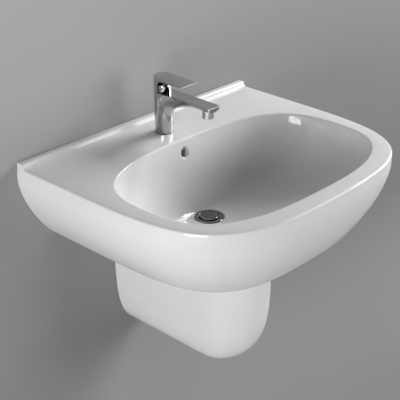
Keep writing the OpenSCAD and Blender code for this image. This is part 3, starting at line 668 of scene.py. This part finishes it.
# Named by slot; waste_chrome is a darker, slightly rougher chrome for the waste's own pieces
MATERIALS = {
    "china": glaze(),
    "valve_ceramic": plastic("lapped_ceramic", (0.78, 0.78, 0.75), (0.85, 0.85, 0.82), 0.25, 0.35, 200),
    "chrome": metal("polished_chrome", (0.50, 0.505, 0.51), (0.56, 0.565, 0.57), 0.03, 0.07),
    "waste_chrome": metal("darker_chrome", (0.27, 0.272, 0.276), (0.33, 0.332, 0.336), 0.05, 0.1),
    "steel": metal("zinc_plated_steel", (0.42, 0.43, 0.44), (0.58, 0.59, 0.61), 0.24, 0.4, 60, (1, 1, 6)),
    "brass": metal("machined_brass", (0.62, 0.43, 0.17), (0.78, 0.58, 0.27), 0.2, 0.34, 50, (1, 1, 8)),
    "rubber": plastic("black_rubber", (0.018, 0.018, 0.019), (0.03, 0.03, 0.031), 0.55, 0.75),
    "nylon": plastic("moulded_nylon", (0.66, 0.65, 0.60), (0.74, 0.73, 0.69), 0.42, 0.55),
    "trap_plastic": plastic("trap_polypropylene", (0.76, 0.77, 0.77), (0.82, 0.83, 0.83), 0.22, 0.34),
}


def paint(obj, slot):
    obj.data.materials.clear()
    obj.data.materials.append(MATERIALS[slot])


def dress():
    """Every shown piece takes the material of its slot."""
    slots = {p["node"]: p["material_slot"] for p in frame["record"]["subparts"]}
    for name, obj in frame["nodes"].items():
        paint(obj, slots[name])


# ---- Stage, in metres ----

WALL_GAP = 0.0022               # from the basin's back to the wall
FLOOR_DROP = 0.85               # from the deck to the floor
FLOOR_DEPTH = 14.0
COVE_R = 0.35
HALF_SPAN = 12.0
WALL_TOP = 5.0
PAINT = (0.32, 0.32, 0.32)
PAINTED_LIGHT_SLOPE = (-0.3, 0, 0.5)    # painted light: the paint grows darker to the right and lighter upwards, as light falls on the wall


def painted_light_grade(tree, colour, slope, socket):
    """Painted light: a colour that grows lighter by about the given share for each metre along each axis, standing
    in for how the light falls.
    """
    place = tree.nodes.new("ShaderNodeTexCoord")
    along = tree.nodes.new("ShaderNodeVectorMath")
    along.operation = "DOT_PRODUCT"
    along.inputs[1].default_value = slope
    tree.links.new(place.outputs["Object"], along.inputs[0])
    limit = tree.nodes.new("ShaderNodeClamp")
    limit.inputs["Min"].default_value = -0.6
    limit.inputs["Max"].default_value = 0.5
    tree.links.new(along.outputs["Value"], limit.inputs["Value"])
    power = tree.nodes.new("ShaderNodeMath")
    power.operation = "EXPONENT"
    tree.links.new(limit.outputs["Result"], power.inputs[0])
    scale = tree.nodes.new("ShaderNodeVectorMath")
    scale.operation = "SCALE"
    scale.inputs[0].default_value = colour
    tree.links.new(power.outputs["Value"], scale.inputs["Scale"])
    tree.links.new(scale.outputs["Vector"], socket)


def wall_paint():
    """Matt paint with painted light, lighter upwards and darker to the right; it is clear from behind and lets
    light through, so the basin's back can be seen.
    """
    mat, tree, shader = material("pale_paint_with_painted_light", PAINT, 0.9)
    # painted light: the paint's colour is graded lighter upwards and darker to the right
    painted_light_grade(tree, PAINT, PAINTED_LIGHT_SLOPE, shader.inputs["Base Color"])
    clear = tree.nodes.new("ShaderNodeBsdfTransparent")
    side = tree.nodes.new("ShaderNodeNewGeometry")
    ray = tree.nodes.new("ShaderNodeLightPath")
    either = tree.nodes.new("ShaderNodeMath")
    either.operation = "MAXIMUM"
    tree.links.new(side.outputs["Backfacing"], either.inputs[0])
    tree.links.new(ray.outputs["Is Shadow Ray"], either.inputs[1])
    mix = tree.nodes.new("ShaderNodeMixShader")
    tree.links.new(either.outputs["Value"], mix.inputs["Fac"])
    tree.links.new(shader.outputs["BSDF"], mix.inputs[1])
    tree.links.new(clear.outputs["BSDF"], mix.inputs[2])
    tree.links.new(mix.outputs["Shader"], tree.nodes["Material Output"].inputs["Surface"])
    return mat


def make_stage():
    """A pale floor that sweeps up into the wall that the basin hangs on; its paint carries painted light, graded
    across floor and wall.
    """
    floor_z = DECK * MM - FLOOR_DROP
    cove = [(COVE_R * (math.sin(t) - 1), floor_z + COVE_R * (1 - math.cos(t))) for t in angles(0, 90, 24)]
    outline = [(y + WALL_GAP, z) for y, z in [(-FLOOR_DEPTH, floor_z)] + cove + [(0, WALL_TOP)]]
    verts = [(x, y, z) for x in (-HALF_SPAN, HALF_SPAN) for y, z in outline]
    n = len(outline)
    mesh = bpy.data.meshes.new("backdrop")
    mesh.from_pydata(verts, [], [(i, n + i, n + i + 1, i + 1) for i in range(n - 1)])
    mesh.shade_smooth()
    mesh.materials.append(wall_paint())
    backdrop = bpy.data.objects.new("backdrop", mesh)
    bpy.context.scene.collection.objects.link(backdrop)


# ---- Lights and camera, in metres ----

# Each softbox: bearing from straight ahead, height angle, side, watts
SOFTBOXES = {
    "key": (85, 25, 1.6, 110),
    "left_fill": (-65, 0, 1.4, 60),
    "front_fill": (40, 5, 1.6, 40),
    "rear_left": (-170, -10, 1.0, 12),
    "rear_right": (170, -10, 1.0, 12),
}
LIGHT_RANGE = 3.0
LIGHT_TARGET = Vector((0, -0.25, 0))
CAMERA_PLACE = Vector((-1.4433, -1.5398, 0.916))
CAMERA_TARGET = Vector((-0.07308, -0.25, -0.0113))
LENS = 95.2


def aim(obj, place, target):
    obj.location = place
    obj.rotation_euler = (target - place).to_track_quat("-Z", "Y").to_euler()
    bpy.context.scene.collection.objects.link(obj)


def make_lights():
    """A key on the right, a fill on the left and one in front, and two low lights for the back."""
    for name, (bearing, height, side, power) in SOFTBOXES.items():
        lamp = bpy.data.lights.new(name, "AREA")
        lamp.shape = "SQUARE"
        lamp.size = side
        lamp.energy = power
        turn = math.radians(bearing)
        rise = math.radians(height)
        away = Vector((math.sin(turn) * math.cos(rise), -math.cos(turn) * math.cos(rise), math.sin(rise)))
        aim(bpy.data.objects.new(name, lamp), LIGHT_TARGET + away * LIGHT_RANGE, LIGHT_TARGET)
    world = bpy.data.worlds.new("studio")
    bpy.context.scene.world = world
    world.use_nodes = True
    back = world.node_tree.nodes["Background"]
    back.inputs["Color"].default_value = (0.62, 0.62, 0.63, 1)
    back.inputs["Strength"].default_value = 0.01


def make_camera():
    data = bpy.data.cameras.new("camera")
    data.lens = LENS
    data.sensor_width = 36
    cam = bpy.data.objects.new("camera", data)
    aim(cam, CAMERA_PLACE, CAMERA_TARGET)
    bpy.context.scene.camera = cam


# ---- Scene ----

bpy.context.scene.view_settings.view_transform = "Standard"
make_camera()
make_lights()
make_stage()
dress()
for china in (make_basin(), make_pedestal()):
    paint(china, "china")
for trim in (make_tap_body(), make_lever(), make_dome()):
    paint(trim, "chrome")
aerator = turn_piece("aerator_ring", "fixed", "aerator_housing", AERATOR_OUTLINE, 0.5, TAP_Y + AERATOR_Y)
paint(aerator, "chrome")
paint(turn_piece("waste_flange", "fixed", "waste_body", WASTE_OUTLINE, 0.5, WASTE_Y), "waste_chrome")
paint(turn_piece("plug_disc", "plug", "plug_cap", PLUG_OUTLINE, 0.6, WASTE_Y), "waste_chrome")
